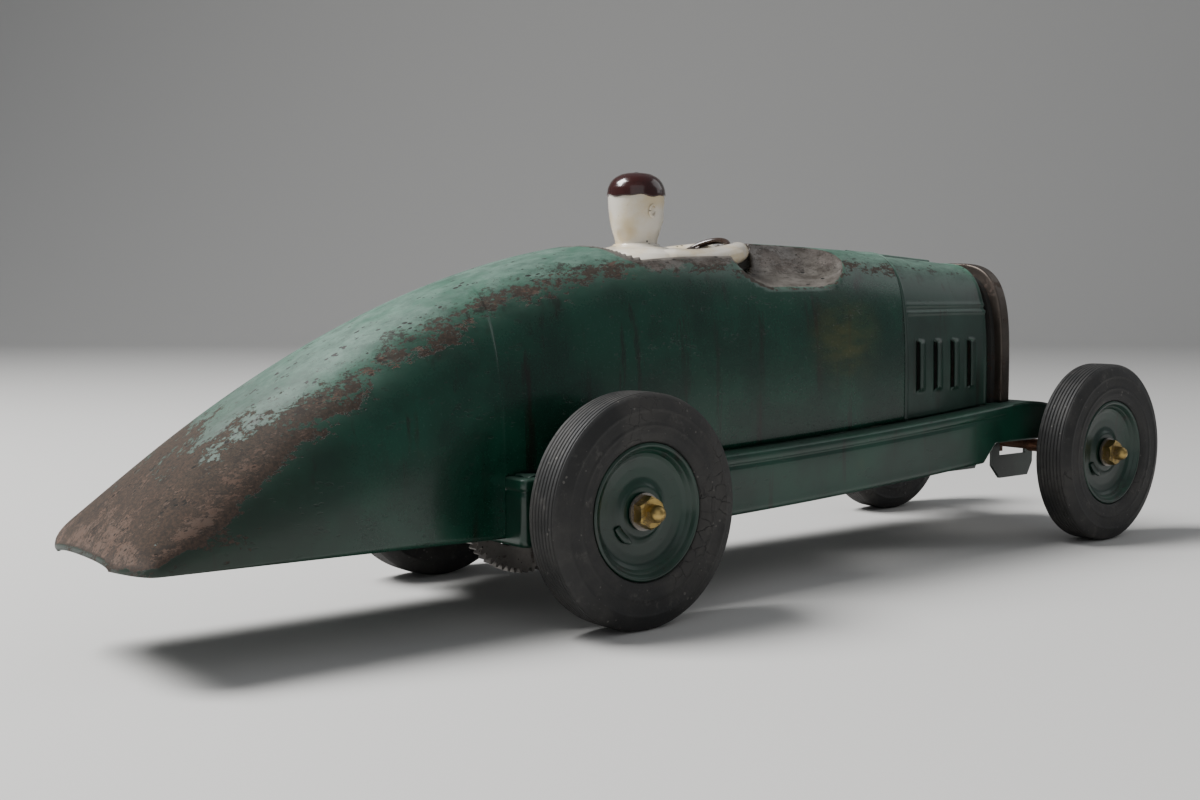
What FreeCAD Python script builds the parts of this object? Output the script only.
import FreeCAD, Part
import math
import os

# Friction tin racing car.  Millimetres, +X towards the nose, +Z up.
# Every piece is drawn with x measured forward from the rear axle, y from the
# centre line (the driver's left is +y) and z from the floor.  save() then moves
# it so that the origin is under the middle of the whole car.

# ---------------------------------------------------------------- driving sizes
WHEELBASE = 310.0
TRACK = 138.0
TAIL_REACH = 182.0          # rear axle to the tip of the tail

TYRE_D = 89.0
TYRE_W = 18.5
DISC_D = 52.0               # pressed wheel disc, seen inside the tyre
DISC_SHEET = 1.0
AXLE_D = 4.8
NUT_FLATS = 11.0
NUT_H = 4.5
NUT_DOME_D = 6.6
NUT_DOME_H = 5.5

FRAME_HALF = 50.0           # half the width over the frame sides
FRAME_REAR = 37.5           # frame's rear wall behind the rear axle
FRAME_SHEET = 1.2
FRAME_TOP_REAR = 57.0       # frame height where the body stands on it, at the rear
FRAME_RISE = 12.5           # how far the top edge climbs towards the nose
FRAME_LOW_REAR = 31.5
FRAME_LOW_RISE = 10.4
FRAME_UNDER_NOSE = 51.0     # lower edge of the nose, above the front axle

BODY_HALF = 38.5            # half width of cowl and tail
TAIL_HALF = 42.5            # half width where the tail flares
BODY_SHEET = 1.0
BODY_TOP = 147.6
BODY_TOP_AT = 66.0          # station of the highest point
TAIL_LIP_Z = 37.0
TAIL_LOW_Z = 33.8
SEAM_AT = 194.0             # cowl meets bonnet
BONNET_END = 258.5
BONNET_STEP = 1.0           # bonnet sits this far inside the cowl
CROWN_FALL = 0.0002         # fall of the crown line, per mm squared

RADIATOR_AT = 265.0
RADIATOR_LEN = 8.5
RADIATOR_HALF = 41.5
RADIATOR_TOP = 139.8
RADIATOR_RIM = 4.0

LOUVRES = 4
LOUVRE_FIRST = 204.0
LOUVRE_PITCH = 13.1
LOUVRE_LOW = 78.0
LOUVRE_HIGH = 102.5
LOUVRE_W = 5.6
LOUVRE_OUT = 2.3
HINGE_LINE_Z = 115.3

COCKPIT_REAR = 25.0
COCKPIT_FRONT = 118.0
COCKPIT_HALF = 27.0
COCKPIT_REAR_R = 20.0
COCKPIT_FRONT_R = 26.0
SCALLOP_R = 34.0            # elbow scallops beside the scuttle
SCALLOP_FROM = 112.0
SCALLOP_TO = 138.0
SCALLOP_Y = 44.0
SCALLOP_Z = 160.0

HEAD_AT = 59.5
HEAD_TOP = 176.6
HEAD_LOW = 145.5
HEAD_R = 12.3
HELMET_LINE = 166.0
HELMET_WALL = 0.9
SHOULDER_AT = 51.5
SEAT_Z = 118.0
ARM_R = 5.2
ARM_REACH_X = 26.0
ARM_REACH_Y = 17.5
ARM_Z = 139.5
STEER_WHEEL_R = 14.0
STEER_RIM_R = 1.4
STEER_WHEEL_AT = 96.5
STEER_WHEEL_Z = 140.5
STEER_RAKE = 34.0           # degrees that the column leans back from upright

GEAR_MODULE = 1.0
GEAR_TEETH = 66
PINION_TEETH = 12
GEAR_W = 5.0
PINION_W = 8.0
GEAR_BACKLASH = 0.24
ARBOR_D = 4.0
ARBOR_ANGLE = 50.0          # degrees above horizontal, seen from the rear axle
FLYWHEEL_D = 60.0
FLYWHEEL_W = 14.0
FLYWHEEL_AT = 17.0          # its middle, left of the centre line
MOTOR_HALF = 28.0           # middle of each motor side plate
MOTOR_SHEET = 1.5

HANGER_HALF = 17.0          # middle of each cheek of the front hanger
HANGER_SHEET = 1.6
HANGER_LEN = 36.0
HANGER_LOW = 26.5
SLOT_LEN = 23.0
SLOT_LOW = 38.5
KING_D = 5.0
KING_NUT_R = 5.0            # across the nut's corners

RUN_FIT = 0.05              # radial clearance of a shaft that turns in a hole
SIDE_PLAY = 0.4             # end clearance between turning and fixed faces
RIVET_D = 3.0

# ------------------------------------------------------------------ derived sizes
TYRE_R = TYRE_D / 2
AXLE_R = AXLE_D / 2
DISC_R = DISC_D / 2
AXLE_Z = TYRE_R
ORIGIN_SHIFT = (TAIL_REACH - WHEELBASE - TYRE_R) / 2
NOSE_AT = WHEELBASE
GEAR_R = GEAR_MODULE * GEAR_TEETH / 2
PINION_R = GEAR_MODULE * PINION_TEETH / 2
ARBOR_GAP = GEAR_R + PINION_R
ARBOR_X = ARBOR_GAP * math.cos(math.radians(ARBOR_ANGLE))
ARBOR_Z = AXLE_Z + ARBOR_GAP * math.sin(math.radians(ARBOR_ANGLE))
FRAME_TOP_FRONT = FRAME_TOP_REAR + FRAME_RISE
FRAME_FLAT_END = RADIATOR_AT - 2.5
FRAME_STEP_AT = FRAME_FLAT_END - 21.5

X_AXIS = FreeCAD.Vector(1, 0, 0)
Y_AXIS = FreeCAD.Vector(0, 1, 0)
Z_AXIS = FreeCAD.Vector(0, 0, 1)

os.makedirs("parts", exist_ok=True)


# ------------------------------------------------------------------ small helpers
def vec(x, y, z):
    return FreeCAD.Vector(x, y, z)


def save(name, shape):
    """Write one sub-part, moved so that the origin is under the car's middle."""
    if isinstance(shape, list):
        shape = Part.makeCompound(shape)
    placed = shape.copy()
    placed.translate(vec(ORIGIN_SHIFT, 0, 0))
    placed.exportStep("parts/" + name + ".step")


def box(x0, x1, y0, y1, z0, z1):
    return Part.makeBox(x1 - x0, y1 - y0, z1 - z0, vec(x0, y0, z0))


def rod_y(radius, x, z, y0, y1):
    """Cylinder along y, between y0 and y1."""
    return Part.makeCylinder(radius, y1 - y0, vec(x, y0, z), Y_AXIS)


def tube_y(outer, inner, x, z, y0, y1):
    return rod_y(outer, x, z, y0, y1).cut(rod_y(inner, x, z, y0 - 1, y1 + 1))


def mirrored(shape):
    """The same piece on the other side of the centre line."""
    return shape.mirror(vec(0, 0, 0), Y_AXIS)


def polygon_y(points, y0, y1):
    """Prism along y from an outline of (x, z) points."""
    ring = [vec(x, y0, z) for x, z in points]
    wire = Part.makePolygon(ring + ring[:1])
    return Part.Face(wire).extrude(vec(0, y1 - y0, 0))


def bezier(points, y):
    """Bezier edge through the x-z plane at y, from its (x, z) poles."""
    curve = Part.BezierCurve()
    curve.setPoles([vec(x, y, z) for x, z in points])
    return curve.toShape()


def turned(points, x, y, z, outward):
    """Ring turned about y.  points are (radius, distance outward) pairs."""
    ring = [vec(x, y + outward * d, z + r) for r, d in points]
    face = Part.Face(Part.makePolygon(ring + ring[:1]))
    return face.revolve(vec(x, y, z), Y_AXIS, 360)


def rivet(x, y, z, direction, grip):
    """Domed rivet: the head lies on (x, y, z), the shank runs along direction."""
    head_r = RIVET_D * 0.85
    shank = Part.makeCylinder(RIVET_D / 2, grip, vec(x, y, z), direction)
    head = Part.makeCone(head_r, head_r * 0.6, RIVET_D * 0.4, vec(x, y, z), direction * -1)
    return shank.fuse(head).removeSplitter()


# ------------------------------------------------------------------ body sections
def crown(s):
    """Height of the crown line: a streamlined tail, then a slow fall to the nose."""
    tip_z = TAIL_LIP_Z + 1.9
    if s > BODY_TOP_AT:
        return BODY_TOP - CROWN_FALL * (s - BODY_TOP_AT) ** 2
    share = min(1.0, (BODY_TOP_AT - s) / (BODY_TOP_AT + TAIL_REACH))
    return tip_z + (BODY_TOP - tip_z) * (1 - share ** 1.87) ** 0.833


def half_width(s):
    """Half width: parallel cowl, flared tail, rounded off in plan at the tip."""
    flare = min(1.0, max(0.0, (-FRAME_REAR - s) / (TAIL_REACH - FRAME_REAR)))
    wide = BODY_HALF + (TAIL_HALF - BODY_HALF) * flare ** 1.3
    close = max(0.0, (-s - (TAIL_REACH - 11.0)) / 11.0)
    return wide * (1 - 0.45 * close ** 3)


def middle(s):
    """Height about which the section is drawn: the tail's lower edge, then higher."""
    behind = min(1.0, max(0.0, (-FRAME_REAR - s) / (TAIL_REACH - FRAME_REAR)))
    low = TAIL_LOW_Z + (TAIL_LIP_Z - TAIL_LOW_Z) * behind
    ahead = min(1.0, max(0.0, (s + FRAME_REAR) / 90.0))
    return low + (FRAME_TOP_REAR + 3.0 - low) * ahead * ahead * (3 - 2 * ahead)


def power(s):
    """Squareness of the section: soft at the tail, boxy at the bonnet."""
    share = min(1.0, max(0.0, (s + TAIL_REACH) / (SEAM_AT + TAIL_REACH)))
    return 2.4 + 1.9 * share


def loop(s, half, low, top, squareness, count=48):
    """Closed smooth section across the car at station s."""
    poles = []
    for k in range(count):
        a = 2 * math.pi * k / count
        c, h = math.cos(a), math.sin(a)
        r = (abs(c) ** squareness + abs(h) ** squareness) ** (-1 / squareness)
        poles.append(vec(s, half * r * c, low + (top - low) * r * h))
    curve = Part.BSplineCurve()
    curve.buildFromPolesMultsKnots(poles, [1] * (count + 1), range(count + 1), True, 3)
    return Part.Wire(curve.toShape())


def body_solid(start, end, inset, steps=22):
    """Solid inside the body's skin, drawn in by inset, from start to end."""
    wires = []
    for k in range(steps):
        s = start + (end - start) * (k / (steps - 1)) ** 1.6
        top = max(crown(s) - inset, middle(s) + 0.5)
        wires.append(loop(s, half_width(s) - inset, middle(s), top, power(s)))
    return Part.makeLoft(wires, True, False)


def frame_top(s):
    """Height of the frame's top edge at station s."""
    share = (s + FRAME_REAR) / (FRAME_FLAT_END + FRAME_REAR)
    return FRAME_TOP_REAR + FRAME_RISE * share * share


def frame_top_edge(inset, y):
    """The frame's rising top edge, from the rear wall to under the radiator."""
    x0, x1 = -FRAME_REAR + inset, FRAME_FLAT_END
    z0, z1 = FRAME_TOP_REAR - inset, FRAME_TOP_FRONT - inset
    return bezier([(x0, z0), ((x0 + x1) / 2, z0), (x1, z1)], y)


def under_body(end):
    """Everything below the body's lower edge: under the tail, and in the frame."""
    y = -2 * FRAME_HALF
    tip = vec(-TAIL_REACH - 20, y, TAIL_LIP_Z + 0.44)
    wall_low = vec(-FRAME_REAR, y, TAIL_LOW_Z)
    wall_top = vec(-FRAME_REAR, y, FRAME_TOP_REAR)
    flat_end = vec(FRAME_FLAT_END, y, FRAME_TOP_FRONT)
    beyond = vec(end, y, FRAME_TOP_FRONT + 1.0)
    edges = [
        Part.makeLine(tip, wall_low),
        Part.makeLine(wall_low, wall_top),
        frame_top_edge(0, y),
        Part.makeLine(flat_end, beyond),
        Part.makeLine(beyond, vec(end, y, -80)),
        Part.makeLine(vec(end, y, -80), vec(-TAIL_REACH - 20, y, -80)),
        Part.makeLine(vec(-TAIL_REACH - 20, y, -80), tip),
    ]
    return Part.Face(Part.Wire(edges)).extrude(vec(0, 4 * FRAME_HALF, 0))


def capsule(radius, side):
    """Elbow scallop: a round-ended bar lying beside the scuttle."""
    x0, x1 = SCALLOP_FROM, SCALLOP_TO
    bar = Part.makeCylinder(radius, x1 - x0, vec(x0, side * SCALLOP_Y, SCALLOP_Z), X_AXIS)
    for x in (x0, x1):
        bar = bar.fuse(Part.makeSphere(radius, vec(x, side * SCALLOP_Y, SCALLOP_Z)))
    return bar


def rounded_plan(x0, x1, half, rear_r, front_r, z0, z1):
    """Upright prism with rounded corners, between stations x0 and x1."""
    edges = []
    corners = ((x0, -half, rear_r, 180), (x1, -half, front_r, 270), (x1, half, front_r, 0),
               (x0, half, rear_r, 90))
    last = None
    for x, y, r, start in corners:
        cx = x + r if x == x0 else x - r
        cy = y + r if y < 0 else y - r
        arc = Part.makeCircle(r, vec(cx, cy, z0), Z_AXIS, start, start + 90)
        if last is not None:
            edges.append(Part.makeLine(last, arc.valueAt(arc.FirstParameter)))
        last = arc.valueAt(arc.LastParameter)
        edges.append(arc)
    edges.append(Part.makeLine(last, edges[0].valueAt(edges[0].FirstParameter)))
    return Part.Face(Part.Wire(edges)).extrude(vec(0, 0, z1 - z0))


# ------------------------------------------------------------------ chassis frame
def frame_profile(inset, drop):
    """Side view of the frame as a prism across the car, drawn in by inset."""
    y = -FRAME_HALF - 5
    rear = -FRAME_REAR + inset
    nose = NOSE_AT - inset
    low_mid = (rear + FRAME_STEP_AT) / 2
    low_rear = FRAME_LOW_REAR - drop
    low_front = FRAME_LOW_REAR + FRAME_LOW_RISE - drop
    under = FRAME_UNDER_NOSE - drop
    step_top = vec(FRAME_STEP_AT + 9, y, under)
    behind = rear - 5.0
    top_rear = FRAME_TOP_REAR - inset
    flat_end = (FRAME_FLAT_END, FRAME_TOP_FRONT - inset)
    slope = 2 * FRAME_RISE / (FRAME_FLAT_END + FRAME_REAR)
    lead = 21.0
    nose_poles = [
        flat_end,
        (flat_end[0] + lead, flat_end[1] + lead * slope),
        (nose, flat_end[1] + lead * slope),
        (nose, FRAME_UNDER_NOSE),
    ]
    edges = [
        bezier([(rear, low_rear), (low_mid, low_rear), (FRAME_STEP_AT, low_front)], y),
        Part.makeLine(vec(FRAME_STEP_AT, y, low_front), step_top),
        Part.makeLine(step_top, vec(nose, y, under)),
        bezier(nose_poles, y),
        frame_top_edge(inset, y),
        Part.makeLine(vec(rear, y, top_rear), vec(behind, y, top_rear)),
        Part.makeLine(vec(behind, y, top_rear), vec(behind, y, low_rear)),
        Part.makeLine(vec(behind, y, low_rear), vec(rear, y, low_rear)),
    ]
    if drop > 0:
        edges.append(Part.makeLine(vec(nose, y, FRAME_UNDER_NOSE), vec(nose, y, under)))
    wire = Part.Wire(Part.__sortEdges__(edges))
    return Part.Face(wire).extrude(vec(0, 2 * FRAME_HALF + 10, 0))


def frame_plan(inset):
    return rounded_plan(-FRAME_REAR + inset, NOSE_AT + 1.0 - inset, FRAME_HALF - inset,
                        3.2 - inset, 20.0 - inset, -60, 120)


def hem_groove():
    """Shallow line pressed under the folded hem along both sides and the rear."""
    y = -FRAME_HALF - 5
    low, high = 4.9, 4.3
    lower = frame_top_edge(0, y)
    lower.translate(vec(0, 0, -low))
    upper = frame_top_edge(0, y)
    upper.translate(vec(0, 0, -high))
    ends = [(e.valueAt(e.FirstParameter), e.valueAt(e.LastParameter)) for e in (lower, upper)]
    band = Part.Wire(Part.__sortEdges__([
        lower, upper,
        Part.makeLine(ends[0][0], ends[1][0]),
        Part.makeLine(ends[0][1], ends[1][1]),
    ]))
    strip = Part.Face(band).extrude(vec(0, 2 * FRAME_HALF + 10, 0))
    return strip.cut(frame_plan(0.45))


def chassis_frame():
    shell = frame_profile(0, 0).common(frame_plan(0))
    shell = shell.cut(frame_profile(FRAME_SHEET, 30).common(frame_plan(FRAME_SHEET)))
    well = box(-FRAME_REAR + 3.2, RADIATOR_AT - 8, -BODY_HALF + 4, BODY_HALF - 4, 40, 90)
    shell = shell.cut(well)
    shell = shell.cut(hem_groove())
    for side in (-1, 1):
        hole = rod_y(BUSH_R, 0, AXLE_Z, -1, 1)
        hole = hole.copy()
        hole.translate(vec(0, side * (FRAME_HALF - FRAME_SHEET / 2), 0))
        shell = shell.cut(hole)
    for shank in rear_wall_shanks():
        shell = shell.cut(shank)
    return shell.cut(king_hole(FRAME_UNDER_NOSE - 2, FRAME_UNDER_NOSE + 11, KING_NUT_R + 1.5))


# ------------------------------------------------------------------ tin bodywork
def body_shell():
    """Tail and cowl pressed as one sheet, open below, with cockpit and scallops."""
    outer = body_solid(-TAIL_REACH, SEAM_AT, 0)
    inner = body_solid(-TAIL_REACH + 1.6, SEAM_AT + 2, BODY_SHEET)
    for side in (-1, 1):
        outer = outer.cut(capsule(SCALLOP_R, side))
        inner = inner.cut(capsule(SCALLOP_R + BODY_SHEET, side))
    shell = outer.cut(inner)
    shell = shell.cut(under_body(SEAM_AT + 5))
    opening = rounded_plan(COCKPIT_REAR, COCKPIT_FRONT, COCKPIT_HALF, COCKPIT_REAR_R, COCKPIT_FRONT_R,
                           100, 200)
    shell = shell.cut(opening)
    return largest(shell)


def largest(shape):
    """The one big solid left after a cut, without stray slivers."""
    return max(shape.Solids, key=lambda solid: solid.Volume)


def bonnet_loop(s, inset):
    top = crown(s) - BONNET_STEP - inset
    half = BODY_HALF - BONNET_STEP - inset
    return loop(s, half, FRAME_TOP_REAR + 3.0, top, power(SEAM_AT))


def louvre(s, side):
    """Lanced louvre: a blister that rises from its front and opens to the rear."""
    skin = side * (BODY_HALF - BONNET_STEP)
    inside = skin - side * (BODY_SHEET + 0.6)
    lip = skin + side * LOUVRE_OUT
    points = [(s, inside), (s, lip), (s + LOUVRE_W, skin + side * 0.05), (s + LOUVRE_W, inside)]
    ring = [vec(x, y, LOUVRE_LOW) for x, y in points]
    outer = Part.Face(Part.makePolygon(ring + ring[:1])).extrude(vec(0, 0, LOUVRE_HIGH - LOUVRE_LOW))
    wall = 0.7
    core = [(s - 0.5, inside - side), (s - 0.5, lip - side * wall),
            (s + LOUVRE_W - wall, skin - side * wall), (s + LOUVRE_W - wall, inside - side)]
    ring = [vec(x, y, LOUVRE_LOW + wall) for x, y in core]
    height = LOUVRE_HIGH - LOUVRE_LOW - 2 * wall
    hollow = Part.Face(Part.makePolygon(ring + ring[:1])).extrude(vec(0, 0, height))
    return outer, hollow


def bonnet():
    start, end = SEAM_AT - 3.0, BONNET_END
    stations = [start + (end - start) * k / 5 for k in range(6)]
    outer = Part.makeLoft([bonnet_loop(s, 0) for s in stations], True, False)
    stations = [start - 1 + (end - start + 2) * k / 5 for k in range(6)]
    inner = Part.makeLoft([bonnet_loop(s, BODY_SHEET) for s in stations], True, False)
    shell = outer.cut(inner).cut(under_body(end + 5))
    for side in (-1, 1):
        step = side * (BODY_HALF - BONNET_STEP)
        line = box(SEAM_AT + 3, end - 0.5, min(step, step + side), max(step, step + side),
                   HINGE_LINE_Z - 1.0, HINGE_LINE_Z + 1.0)
        line.translate(vec(0, -side * 0.55, 0))
        shell = shell.fuse(line)
        for k in range(LOUVRES):
            outer, hollow = louvre(LOUVRE_FIRST + LOUVRE_PITCH * k, side)
            shell = shell.fuse(outer).cut(hollow)
    return largest(shell)


def bonnet_hinge():
    """Hinge wire lying along the crown of the bonnet."""
    r = 1.3
    a = vec(SEAM_AT + 0.6, 0, crown(SEAM_AT) - BONNET_STEP + r * 0.8)
    b = vec(BONNET_END - 0.5, 0, crown(BONNET_END) - BONNET_STEP + r * 0.8)
    wire = Part.makeCylinder(r, (b - a).Length, a, b - a)
    stations = [SEAM_AT - 2 + (BONNET_END - SEAM_AT + 4) * k / 5 for k in range(6)]
    solid = Part.makeLoft([bonnet_loop(s, 0) for s in stations], True, False)
    return wire.cut(solid)


def radiator_loop(s, inset):
    top = RADIATOR_TOP - inset
    return loop(s, RADIATOR_HALF - inset, FRAME_TOP_FRONT, top, 4.3)


def radiator_shell():
    a, b = RADIATOR_AT, RADIATOR_AT + RADIATOR_LEN
    outer = Part.makeLoft([radiator_loop(a, 0), radiator_loop(b - 2, 0), radiator_loop(b, 1.2)],
                          True, True)
    hole = Part.makeLoft([radiator_loop(a - 1, RADIATOR_RIM), radiator_loop(b + 1, RADIATOR_RIM)],
                         True, True)
    return largest(outer.cut(hole).cut(deck_tool()))


def deck_tool():
    """Everything under the frame's curved front deck."""
    return frame_profile(0, 60).common(box(RADIATOR_AT - 12, NOSE_AT + 5, -60, 60, -60, 120))


def radiator_core():
    """Finned block behind the shell, joined to it and standing on the deck."""
    a, b = RADIATOR_AT - 3.0, RADIATOR_AT + RADIATOR_LEN - 2.5
    inset = RADIATOR_RIM
    block = Part.makeLoft([radiator_loop(a, inset), radiator_loop(b, inset)], True, True)
    block = block.cut(deck_tool())
    pitch = 4.4
    count = int(2 * (RADIATOR_HALF - inset - 4) / pitch)
    for k in range(count):
        y = (k - (count - 1) / 2) * pitch
        slot = box(b - 2.0, b + 1, y - 1.3, y + 1.3, FRAME_TOP_FRONT + 6, RADIATOR_TOP - inset - 9)
        block = block.cut(slot)
    return largest(block)


# ------------------------------------------------------------------ driver
def driver_bust():
    """Torso, sloping shoulders and both arms reaching round to the wheel."""
    stages = ((SEAT_Z, 18.0, 20.0), (130.0, 21.5, 23.5), (138.0, 22.5, 25.0),
              (143.2, 17.0, 20.0), (HEAD_LOW, 10.0, 10.6))
    wires = []
    for z, deep, wide in stages:
        ring = Part.Ellipse(vec(0, 0, 0), max(deep, wide), min(deep, wide)).toShape()
        wire = Part.Wire(ring)
        wire.rotate(vec(0, 0, 0), Z_AXIS, 90)
        lean = (z - SEAT_Z) * (HEAD_AT - SHOULDER_AT) / (HEAD_LOW - SEAT_Z)
        wire.translate(vec(SHOULDER_AT + lean, 0, z))
        wires.append(wire)
    bust = Part.makeLoft(wires, True, False)
    arms = stretched(Part.makeTorus(ARM_REACH_Y, ARM_R), ARM_REACH_X / ARM_REACH_Y)
    arms.translate(vec(HEAD_AT + ARM_REACH_X - 2.0, 0, ARM_Z))
    body = bust.fuse(arms).cut(driver_head_blank(0.0))
    return largest(body.cut(steering_wheel()).cut(steering_column()).cut(body_shell()))


def stretched(shape, factor):
    """The same shape made longer from front to back."""
    matrix = FreeCAD.Matrix()
    matrix.A11 = factor
    return shape.transformGeometry(matrix)


def driver_head_blank(grow):
    """Head turned about the upright: narrow neck, full cheeks and a round crown."""
    r = HEAD_R - HELMET_WALL + grow
    top = HEAD_TOP - HELMET_WALL + grow
    mid = 160.0
    points = [vec(0, 0, HEAD_LOW - 1.0), vec(9.6, 0, HEAD_LOW - 1.0)]
    low = Part.BezierCurve()
    low.setPoles([points[1], vec(r * 0.86, 0, 151.0), vec(r, 0, 154.0), vec(r, 0, mid)])
    high = Part.BezierCurve()
    high.setPoles([vec(r, 0, mid), vec(r, 0, top - 4.5), vec(r * 0.6, 0, top), vec(0, 0, top)])
    edges = [Part.makeLine(points[0], points[1]), low.toShape(), high.toShape(),
             Part.makeLine(vec(0, 0, top), points[0])]
    blank = Part.Face(Part.Wire(edges)).revolve(vec(0, 0, 0), Z_AXIS, 360)
    blank.translate(vec(HEAD_AT, 0, 0))
    return blank


def driver_head():
    nose = Part.makeSphere(2.4, vec(HEAD_AT + HEAD_R - 1.2, 0, 160.0))
    return driver_head_blank(0.0).fuse(nose).removeSplitter()


def driver_helmet():
    cap = driver_head_blank(HELMET_WALL).cut(driver_head_blank(0.0))
    cap = cap.cut(box(HEAD_AT - 40, HEAD_AT + 40, -40, 40, 100, HELMET_LINE))
    return largest(cap)


def raked(shape):
    """Lean a piece drawn upright at the origin onto the steering column's line."""
    shape.rotate(vec(0, 0, 0), Y_AXIS, -STEER_RAKE)
    shape.translate(vec(STEER_WHEEL_AT, 0, STEER_WHEEL_Z))
    return shape


def steering_wheel():
    hub = Part.makeCylinder(2.6, 2.4, vec(0, 0, -1.2), Z_AXIS)
    wheel = Part.makeTorus(STEER_WHEEL_R, STEER_RIM_R).fuse(hub)
    for k in range(4):
        spoke = box(1.5, STEER_WHEEL_R, -0.9, 0.9, -0.5, 0.5)
        spoke.rotate(vec(0, 0, 0), Z_AXIS, 45 + 90 * k)
        wheel = wheel.fuse(spoke)
    return raked(wheel.removeSplitter())


def steering_column():
    return raked(Part.makeCylinder(1.8, 26.0, vec(0, 0, -27.2), Z_AXIS))


def cockpit_floor():
    """Strip across the inside of the cowl that carries the driver."""
    half = BODY_HALF - BODY_SHEET
    floor = box(28, 104, -half, half, SEAT_Z - 1.4, SEAT_Z)
    skin = body_solid(-60, SEAM_AT + 2, BODY_SHEET)
    return largest(floor.common(skin))


# ------------------------------------------------------------------ wheels
WHEEL_Y = TRACK / 2
BUSH_R = AXLE_R + 2.2
HUB_R = AXLE_R + 2.6
DISC_LIP = TYRE_W / 2 - 1.9     # how far out the disc's edge lies
HUB_IN = 8.2                    # hub's inner end, from the wheel's middle plane
HUB_OUT = 4.6
NUT_FROM = HUB_OUT + 1.0        # nut starts here, past its washer


def tyre(x, side):
    """Solid rubber tyre: flat grooved tread, round shoulders, two sidewall rings."""
    half = TYRE_W / 2
    crown_half = 6.4
    points = [(DISC_R - 3.2, -DISC_LIP + 1.6), (DISC_R + 0.3, -DISC_LIP + 1.4),
              (DISC_R + 0.8, -DISC_LIP - 0.4), (DISC_R + 3.5, -half + 0.45)]
    for ring in (DISC_R + 6.0, DISC_R + 12.5):
        points += [(ring, -half + 0.15), (ring + 0.5, -half - 0.0), (ring + 1.0, -half + 0.15)]
    points += [(TYRE_R - 3.6, -half + 0.8), (TYRE_R - 1.5, -half + 1.9),
               (TYRE_R - 0.45, -crown_half - 0.25)]
    grooves = 7
    pitch = 2 * crown_half / grooves
    for k in range(grooves):
        y = -crown_half + pitch * k
        points += [(TYRE_R, y + 0.35), (TYRE_R, y + pitch - 0.35), (TYRE_R - 0.55, y + pitch)]
    points = points[:-1]
    left = [p for p in points if p[1] < -crown_half]
    right = [(r, -d) for r, d in reversed(left)]
    return turned(points + right, x, side * WHEEL_Y, AXLE_Z, side)


def disc_profile(flip):
    """One pressed half of the wheel: rolled edge, dished ring, flat web and boss."""
    t = DISC_SHEET
    outer = [(DISC_R, DISC_LIP), (DISC_R - 1.2, DISC_LIP + 0.5), (DISC_R - 3.0, DISC_LIP - 0.3),
             (DISC_R - 5.6, 3.4), (HUB_R + 6.6, 3.0), (HUB_R + 4.6, 4.1), (HUB_R, 4.1)]
    inner = [(HUB_R, 4.1 - t), (HUB_R + 4.2, 4.1 - t), (HUB_R + 6.2, 3.0 - t),
             (DISC_R - 6.0, 3.4 - t), (DISC_R - 3.6, DISC_LIP - 1.6), (DISC_R - 1.2, DISC_LIP - 0.9),
             (DISC_R, DISC_LIP - 0.9)]
    return [(r, flip * d) for r, d in outer + inner]


def wheel_disc(x, side, flip):
    disc = turned(disc_profile(flip), x, side * WHEEL_Y, AXLE_Z, side)
    if flip < 0:
        return disc
    slot = Part.makeBox(5.6, 3.0, 1.6, vec(-2.8, -1.5, -0.8))
    slot.translate(vec(-11.6, 0, 0))
    slot.rotate(vec(0, 0, 0), Y_AXIS, -42)
    slot.translate(vec(x, side * (WHEEL_Y + 2.5), AXLE_Z))
    return disc.cut(slot)


def wheel_hub(x, side, bore):
    """Flanged sleeve that holds both discs, running or fixed on the axle."""
    points = [(bore, -HUB_IN), (HUB_R + 2.0, -HUB_IN), (HUB_R + 2.0, -4.1), (HUB_R, -4.1),
              (HUB_R, HUB_OUT), (bore, HUB_OUT)]
    return turned(points, x, side * WHEEL_Y, AXLE_Z, side)


def washers(x):
    ring = tube_y(NUT_FLATS / 2 + 1.6, AXLE_R, x, AXLE_Z, WHEEL_Y + HUB_OUT + SIDE_PLAY / 2,
                  WHEEL_Y + NUT_FROM)
    return [ring, mirrored(ring)]


def cap_nuts(x):
    """Brass hexagon nut with a round-ended cap, one on each end of the axle."""
    y = WHEEL_Y + NUT_FROM
    ring = []
    for k in range(7):
        a = math.radians(60 * k + 30)
        r = NUT_FLATS / 2 / math.cos(math.radians(30))
        ring.append(vec(x + r * math.cos(a), y, AXLE_Z + r * math.sin(a)))
    nut = Part.Face(Part.makePolygon(ring)).extrude(vec(0, NUT_H, 0))
    cone = Part.makeCone(NUT_FLATS / 2 + 0.9, NUT_FLATS / 2 - 0.1, 1.0,
                         vec(x, y + NUT_H - 1.0, AXLE_Z), Y_AXIS)
    slab = rod_y(NUT_FLATS, x, AXLE_Z, y - 1, y + NUT_H - 1.0)
    nut = nut.common(slab.fuse(cone))
    r = NUT_DOME_D / 2
    dome = rod_y(r, x, AXLE_Z, y, y + NUT_H + NUT_DOME_H - r)
    dome = dome.fuse(Part.makeSphere(r, vec(x, y + NUT_H + NUT_DOME_H - r, AXLE_Z)))
    nut = nut.fuse(dome).cut(rod_y(AXLE_R, x, AXLE_Z, y - 1, y + NUT_H + 1.0))
    nut = nut.removeSplitter()
    return [nut, mirrored(nut)]


def axle(x):
    """Plain rod whose ends stand inside the cap nuts."""
    end = WHEEL_Y + NUT_FROM + NUT_H + 1.0
    return rod_y(AXLE_R, x, AXLE_Z, -end, end)


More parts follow.
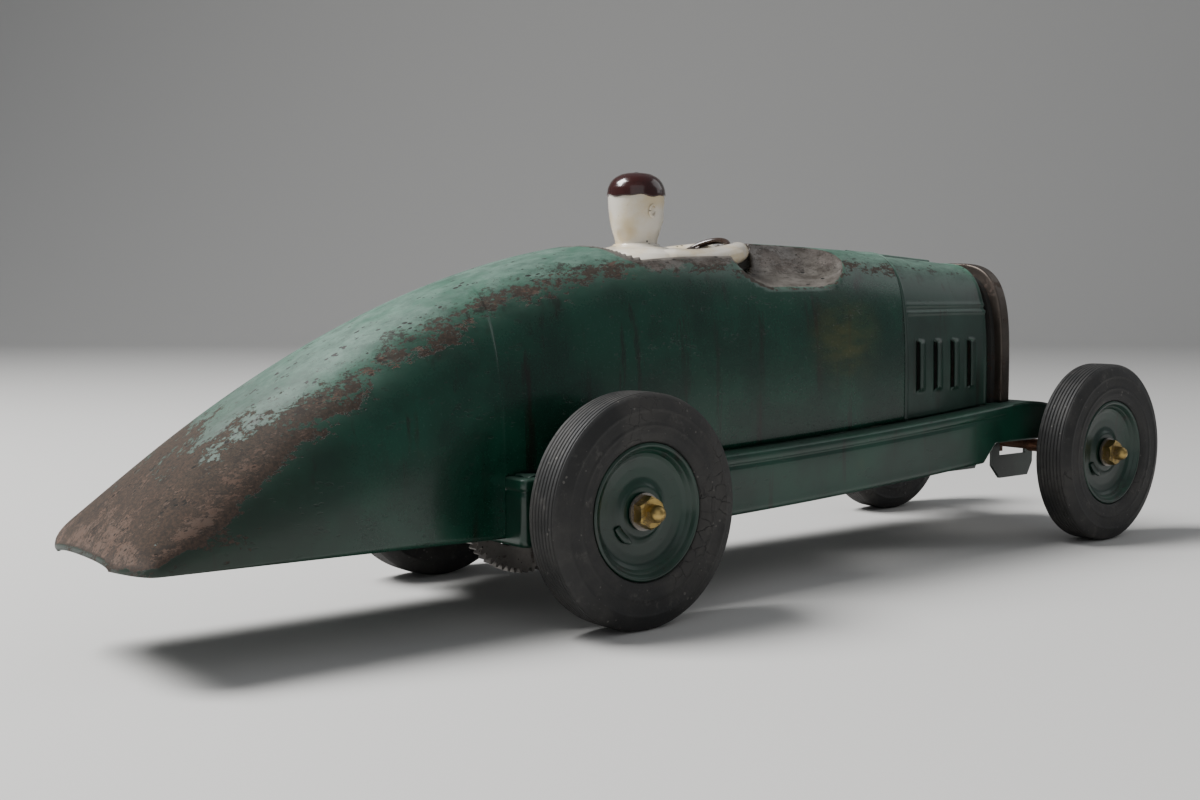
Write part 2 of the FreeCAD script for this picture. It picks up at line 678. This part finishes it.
# ------------------------------------------------------------------ friction motor
def gear_blank(teeth, addendum, dedendum, thin, width, x, z, phase, y):
    """Spur gear with involute flanks.  phase is the angle of one tooth's middle."""
    pitch_r = GEAR_MODULE * teeth / 2
    base = pitch_r * math.cos(math.radians(20))
    tip, root = pitch_r + addendum, pitch_r - dedendum
    inv20 = math.tan(math.radians(20)) - math.radians(20)
    half_tooth = math.pi / (2 * teeth) + inv20 - thin / (2 * pitch_r)

    def flank(r):
        if r <= base:
            return half_tooth
        a = math.acos(base / r)
        return half_tooth - (math.tan(a) - a)

    start = max(root, base)
    radii = [start + (tip - start) * k / 3 for k in range(4)]

    def at(r, a):
        return vec(x + r * math.cos(a), y - width / 2, z + r * math.sin(a))

    edges = []
    step = 2 * math.pi / teeth
    for k in range(teeth):
        mid = phase + k * step
        rising = [at(r, mid - flank(r)) for r in radii]
        falling = [at(r, mid + flank(r)) for r in reversed(radii)]
        foot_a, foot_b = at(root, mid - half_tooth), at(root, mid + half_tooth)
        if root < start - 0.01:
            edges.append(Part.makeLine(foot_a, rising[0]))
            edges.append(Part.makeLine(falling[-1], foot_b))
        else:
            foot_a, foot_b = rising[0], falling[-1]
        for side in (rising, falling):
            curve = Part.BSplineCurve()
            curve.interpolate(side)
            edges.append(curve.toShape())
        edges.append(Part.makeLine(rising[-1], falling[0]))
        if root < start - 0.01:
            foot_next = at(root, mid + step - half_tooth)
        else:
            foot_next = at(start, mid + step - flank(start))
        edges.append(Part.makeLine(foot_b, foot_next))
    wire = Part.Wire(Part.__sortEdges__(edges))
    return Part.Face(wire).extrude(vec(0, width, 0))


def drive_gear():
    """Large gear on the rear axle, with a boss and five lightening holes."""
    phase = math.radians(ARBOR_ANGLE)
    gear = gear_blank(GEAR_TEETH, 0.7, 1.3, GEAR_BACKLASH, GEAR_W, 0, AXLE_Z, phase, 0)
    gear = gear.fuse(rod_y(8.0, 0, AXLE_Z, -GEAR_W / 2 - 5, GEAR_W / 2 + 5))
    for k in range(5):
        a = math.radians(72 * k + 20)
        gear = gear.cut(rod_y(5.6, 19 * math.cos(a), AXLE_Z + 19 * math.sin(a), -9, 9))
    return gear.cut(rod_y(AXLE_R, 0, AXLE_Z, -20, 20)).removeSplitter()


def pinion():
    phase = math.radians(ARBOR_ANGLE + 180) + math.pi / PINION_TEETH
    gear = gear_blank(PINION_TEETH, 0.95, 1.2, GEAR_BACKLASH, PINION_W, ARBOR_X, ARBOR_Z, phase, 0)
    return gear.cut(rod_y(ARBOR_D / 2, ARBOR_X, ARBOR_Z, -20, 20))


def flywheel():
    """Heavy cast disc with a thick rim, thinner web and a boss."""
    r, half = FLYWHEEL_D / 2, FLYWHEEL_W / 2
    points = [(ARBOR_D / 2, -half - 1.5), (6.5, -half - 1.5), (6.5, -half + 3.5), (r - 9, -half + 3.5),
              (r - 7.5, -half), (r - 1.0, -half), (r, -half + 1.0), (r, half - 1.0), (r - 1.0, half),
              (r - 7.5, half), (r - 9, half - 3.5), (6.5, half - 3.5), (6.5, half + 1.5),
              (ARBOR_D / 2, half + 1.5)]
    return turned(points, ARBOR_X, FLYWHEEL_AT, ARBOR_Z, 1)


def arbor():
    end = MOTOR_HALF + 3.2
    return rod_y(ARBOR_D / 2, ARBOR_X, ARBOR_Z, -end, end)


def arbor_collars():
    """Pressed collars that keep the pinion and the flywheel in place."""
    a = tube_y(4.0, ARBOR_D / 2, ARBOR_X, ARBOR_Z, -PINION_W / 2 - 3.0, -PINION_W / 2)
    b = tube_y(4.0, ARBOR_D / 2, ARBOR_X, ARBOR_Z, PINION_W / 2,
               FLYWHEEL_AT - FLYWHEEL_W / 2 - 1.5)
    return [a, b]


MOTOR_BUSH_R = ARBOR_D / 2 + 2.0
MOTOR_LOW = 38.6
CROSSBAR_AT = 64.0
CROSSBAR_W = 14.0
PLATE_REAR = -FRAME_REAR + FRAME_SHEET


def motor_plate(side):
    """Side plate: long foot strip and a hump that carries the arbor's bush."""
    y0 = MOTOR_HALF - MOTOR_SHEET / 2
    y1 = y0 + MOTOR_SHEET
    end = CROSSBAR_AT + CROSSBAR_W / 2
    strip = box(PLATE_REAR, end, y0, y1, MOTOR_LOW, 55.0)
    hump = polygon_y([(ARBOR_X - 24, 54.0), (ARBOR_X - 11, ARBOR_Z), (ARBOR_X + 11, ARBOR_Z),
                      (ARBOR_X + 46, 54.0)], y0, y1)
    plate = strip.fuse(hump).fuse(rod_y(11.5, ARBOR_X, ARBOR_Z, y0, y1))
    plate = plate.fuse(box(PLATE_REAR, PLATE_REAR + MOTOR_SHEET, y0, y1 + 9, MOTOR_LOW, 55.0))
    foot = box(CROSSBAR_AT - CROSSBAR_W / 2, end, y0, y1 + 9, MOTOR_LOW, MOTOR_LOW + MOTOR_SHEET)
    plate = plate.fuse(foot)
    plate = plate.cut(rod_y(AXLE_R + 1.6, 0, AXLE_Z, 0, 40))
    plate = plate.cut(rod_y(MOTOR_BUSH_R, ARBOR_X, ARBOR_Z, 0, 40))
    for x, z in SPACER_SPOTS:
        plate = plate.cut(rod_y(SPACER_NECK_R, x, z, 0, 40))
    for shank in rear_wall_shanks() + foot_shanks():
        plate = plate.cut(shank)
    plate = plate.removeSplitter()
    return plate if side > 0 else mirrored(plate)


SPACER_SPOTS = ((ARBOR_X + 31.5, 57.5), (ARBOR_X + 23.0, 43.6))
SPACER_NECK_R = 1.8


def motor_spacers():
    """Turned pillars between the side plates, riveted over at both ends."""
    face = MOTOR_HALF - MOTOR_SHEET / 2
    ends = face + MOTOR_SHEET + 1.0
    pillars = []
    for x, z in SPACER_SPOTS:
        pillars.append(rod_y(3.0, x, z, -face, face).fuse(rod_y(SPACER_NECK_R, x, z, -ends, ends)))
    return pillars


def arbor_bushes():
    ring = tube_y(MOTOR_BUSH_R, ARBOR_D / 2 + RUN_FIT, ARBOR_X, ARBOR_Z,
                  MOTOR_HALF - MOTOR_SHEET / 2 - 1.0, MOTOR_HALF + MOTOR_SHEET / 2 + 1.4)
    return [ring, mirrored(ring)]


def axle_bushes():
    """Flanged bushes in the frame sides for the rear axle."""
    inner = FRAME_HALF - FRAME_SHEET
    sleeve = tube_y(BUSH_R, AXLE_R + RUN_FIT, 0, AXLE_Z, inner - 3.0, FRAME_HALF + 1.2)
    flange = tube_y(BUSH_R + 1.8, AXLE_R + RUN_FIT, 0, AXLE_Z, inner - 1.2, inner)
    ring = sleeve.fuse(flange).removeSplitter()
    return [ring, mirrored(ring)]


def crossbar():
    """Strip across the frame that carries the front of the motor, with end tabs."""
    half = FRAME_HALF - FRAME_SHEET
    low = MOTOR_LOW - 1.6
    bar = box(CROSSBAR_AT - CROSSBAR_W / 2, CROSSBAR_AT + CROSSBAR_W / 2, -half, half, low, MOTOR_LOW)
    for side in (-1, 1):
        y0, y1 = sorted((side * half, side * (half - 1.6)))
        bar = bar.fuse(box(CROSSBAR_AT - CROSSBAR_W / 2, CROSSBAR_AT + CROSSBAR_W / 2,
                           y0, y1, low, low + 11))
    for shank in foot_shanks():
        bar = bar.cut(shank)
        bar = bar.cut(mirrored(shank))
    return bar.removeSplitter()


def rear_wall_spots():
    y = MOTOR_HALF + MOTOR_SHEET / 2 + 5.0
    return [(y, MOTOR_LOW + 4.0), (y, 50.5)]


def rear_wall_shanks():
    rods = []
    for y, z in rear_wall_spots():
        for side in (-1, 1):
            rods.append(Part.makeCylinder(RIVET_D / 2, 12, vec(-FRAME_REAR - 4, side * y, z), X_AXIS))
    return rods


def foot_shanks():
    y = MOTOR_HALF + MOTOR_SHEET / 2 + 5.0
    return [Part.makeCylinder(RIVET_D / 2, 12, vec(CROSSBAR_AT, y, MOTOR_LOW - 6), Z_AXIS)]


def motor_rivets():
    grip = FRAME_SHEET + MOTOR_SHEET
    rivets = []
    for side in (-1, 1):
        for y, z in rear_wall_spots():
            rivets.append(rivet(PLATE_REAR + MOTOR_SHEET, side * y, z, vec(-1, 0, 0), grip))
        y = side * (MOTOR_HALF + MOTOR_SHEET / 2 + 5.0)
        rivets.append(rivet(CROSSBAR_AT, y, MOTOR_LOW + MOTOR_SHEET, vec(0, 0, -1), 1.6 + MOTOR_SHEET))
    return rivets


# ------------------------------------------------------------------ front axle
MEMBER_Z = FRAME_UNDER_NOSE
HANGER_WEB_Z = MEMBER_Z - HANGER_SHEET
HANGER_RIVET_X = 11.0


def king_hole(z0, z1, radius):
    return Part.makeCylinder(radius, z1 - z0, vec(WHEELBASE, 0, z0), Z_AXIS)


def hanger_shanks():
    spots = []
    for dx in (-HANGER_RIVET_X, -HANGER_RIVET_X + 7):
        for y in (-9.0, 9.0):
            spots.append(Part.makeCylinder(RIVET_D / 2, 10, vec(WHEELBASE + dx, y, MEMBER_Z - 5), Z_AXIS))
    return spots


def front_crossmember():
    """Plate between the frame sides, reaching forward under the nose."""
    half = FRAME_HALF - FRAME_SHEET
    plate = box(FRAME_STEP_AT + 26, NOSE_AT - FRAME_SHEET - 0.2, -half, half, MEMBER_Z, MEMBER_Z + 1.6)
    plate = plate.common(frame_plan(FRAME_SHEET))
    tongue = box(NOSE_AT - 14, WHEELBASE + 12, -HANGER_HALF, HANGER_HALF, MEMBER_Z, MEMBER_Z + 1.6)
    inner = frame_profile(FRAME_SHEET, 30).common(frame_plan(FRAME_SHEET))
    plate = plate.fuse(tongue.common(inner))
    plate = plate.cut(king_hole(MEMBER_Z - 1, MEMBER_Z + 3, KING_D / 2 + RUN_FIT))
    for shank in hanger_shanks():
        plate = plate.cut(shank)
    return largest(plate.removeSplitter())


def axle_hanger():
    """Folded stirrup under the nose; its slotted cheeks guide the front axle."""
    x0, x1 = WHEELBASE - HANGER_LEN / 2, WHEELBASE + HANGER_LEN / 2
    web = box(x0, x1, -HANGER_HALF, HANGER_HALF, HANGER_WEB_Z, MEMBER_Z)
    cut = 7.0
    outline = [(x0, MEMBER_Z), (x0, HANGER_LOW + cut), (x0 + cut, HANGER_LOW), (x1 - cut * 0.6, HANGER_LOW),
               (x1, HANGER_LOW + cut), (x1, MEMBER_Z)]
    slot = box(WHEELBASE - SLOT_LEN / 2, WHEELBASE + SLOT_LEN / 2, 0, 60, SLOT_LOW,
               AXLE_Z + AXLE_R + RUN_FIT)
    cheek = polygon_y(outline, HANGER_HALF - HANGER_SHEET / 2, HANGER_HALF + HANGER_SHEET / 2)
    cheek = cheek.cut(slot)
    hanger = web.fuse(cheek).fuse(mirrored(cheek))
    hanger = hanger.cut(king_hole(HANGER_WEB_Z - 1, MEMBER_Z + 3, KING_D / 2 + RUN_FIT))
    for shank in hanger_shanks():
        hanger = hanger.cut(shank)
    return hanger.removeSplitter()


def hanger_rivets():
    rivets = []
    for dx in (-HANGER_RIVET_X, -HANGER_RIVET_X + 7):
        for y in (-9.0, 9.0):
            rivets.append(rivet(WHEELBASE + dx, y, MEMBER_Z + 1.6, vec(0, 0, -1), 1.6 + HANGER_SHEET))
    return rivets


def swivel_block():
    """Block that holds the front axle, with the king stud turned on its top."""
    top = HANGER_WEB_Z - SIDE_PLAY
    block = box(WHEELBASE - 5, WHEELBASE + 5, -8, 8, AXLE_Z - 5.5, top)
    block = block.fuse(king_hole(top - 0.5, MEMBER_Z + 8.0, KING_D / 2))
    return block.cut(rod_y(AXLE_R, WHEELBASE, AXLE_Z, -20, 20)).removeSplitter()


def king_nut():
    low = MEMBER_Z + 1.6 + SIDE_PLAY
    ring = []
    for k in range(7):
        a = math.radians(60 * k)
        ring.append(vec(WHEELBASE + KING_NUT_R * math.cos(a), KING_NUT_R * math.sin(a), low))
    nut = Part.Face(Part.makePolygon(ring)).extrude(vec(0, 0, 4.0))
    return nut.cut(king_hole(low - 1, low + 6, KING_D / 2))


def front_sleeves():
    """Spacer sleeves on the front axle, between the hanger and each wheel."""
    y0 = HANGER_HALF + 11.0
    y1 = WHEEL_Y - HUB_IN - SIDE_PLAY
    ring = tube_y(AXLE_R + 0.9, AXLE_R, WHEELBASE, AXLE_Z, y0, y1)
    return [ring, mirrored(ring)]


def rear_sleeves():
    """Spacer sleeves on the rear axle, between the frame's bush and each wheel."""
    y0 = FRAME_HALF + 1.2 + SIDE_PLAY
    y1 = WHEEL_Y - HUB_IN
    ring = tube_y(AXLE_R + 1.6, AXLE_R, 0, AXLE_Z, y0, y1)
    return [ring, mirrored(ring)]


# ------------------------------------------------------------------ write the parts
save("chassis_frame", chassis_frame())
save("body_shell", body_shell())
save("bonnet", bonnet())
save("bonnet_hinge", bonnet_hinge())
save("radiator_shell", radiator_shell())
save("radiator_core", radiator_core())
save("cockpit_floor", cockpit_floor())
save("driver_bust", driver_bust())
save("driver_head", driver_head())
save("driver_helmet", driver_helmet())
save("steering_wheel", steering_wheel())
save("steering_column", steering_column())

save("motor_plate_left", motor_plate(1))
save("motor_plate_right", motor_plate(-1))
save("motor_spacers", motor_spacers())
save("motor_crossbar", crossbar())
save("motor_rivets", motor_rivets())
save("arbor_bushes", arbor_bushes())
save("axle_bushes", axle_bushes())
save("front_crossmember", front_crossmember())
save("axle_hanger", axle_hanger())
save("hanger_rivets", hanger_rivets())

save("flywheel_arbor", arbor())
save("flywheel", flywheel())
save("flywheel_pinion", pinion())
save("arbor_collars", arbor_collars())

save("rear_axle", axle(0))
save("drive_gear", drive_gear())
save("rear_sleeves", rear_sleeves())
save("rear_washers", washers(0))
save("rear_cap_nuts", cap_nuts(0))

save("front_axle", axle(WHEELBASE))
save("swivel_block", swivel_block())
save("king_nut", king_nut())
save("front_sleeves", front_sleeves())
save("front_washers", washers(WHEELBASE))
save("front_cap_nuts", cap_nuts(WHEELBASE))

for end, x, bore in (("rear", 0, AXLE_R), ("front", WHEELBASE, AXLE_R + RUN_FIT)):
    for side, word in ((1, "left"), (-1, "right")):
        corner = end + "_" + word
        save("tyre_" + corner, tyre(x, side))
        save("wheel_outer_" + corner, wheel_disc(x, side, 1))
        save("wheel_inner_" + corner, wheel_disc(x, side, -1))
        save("wheel_hub_" + corner, wheel_hub(x, side, bore))
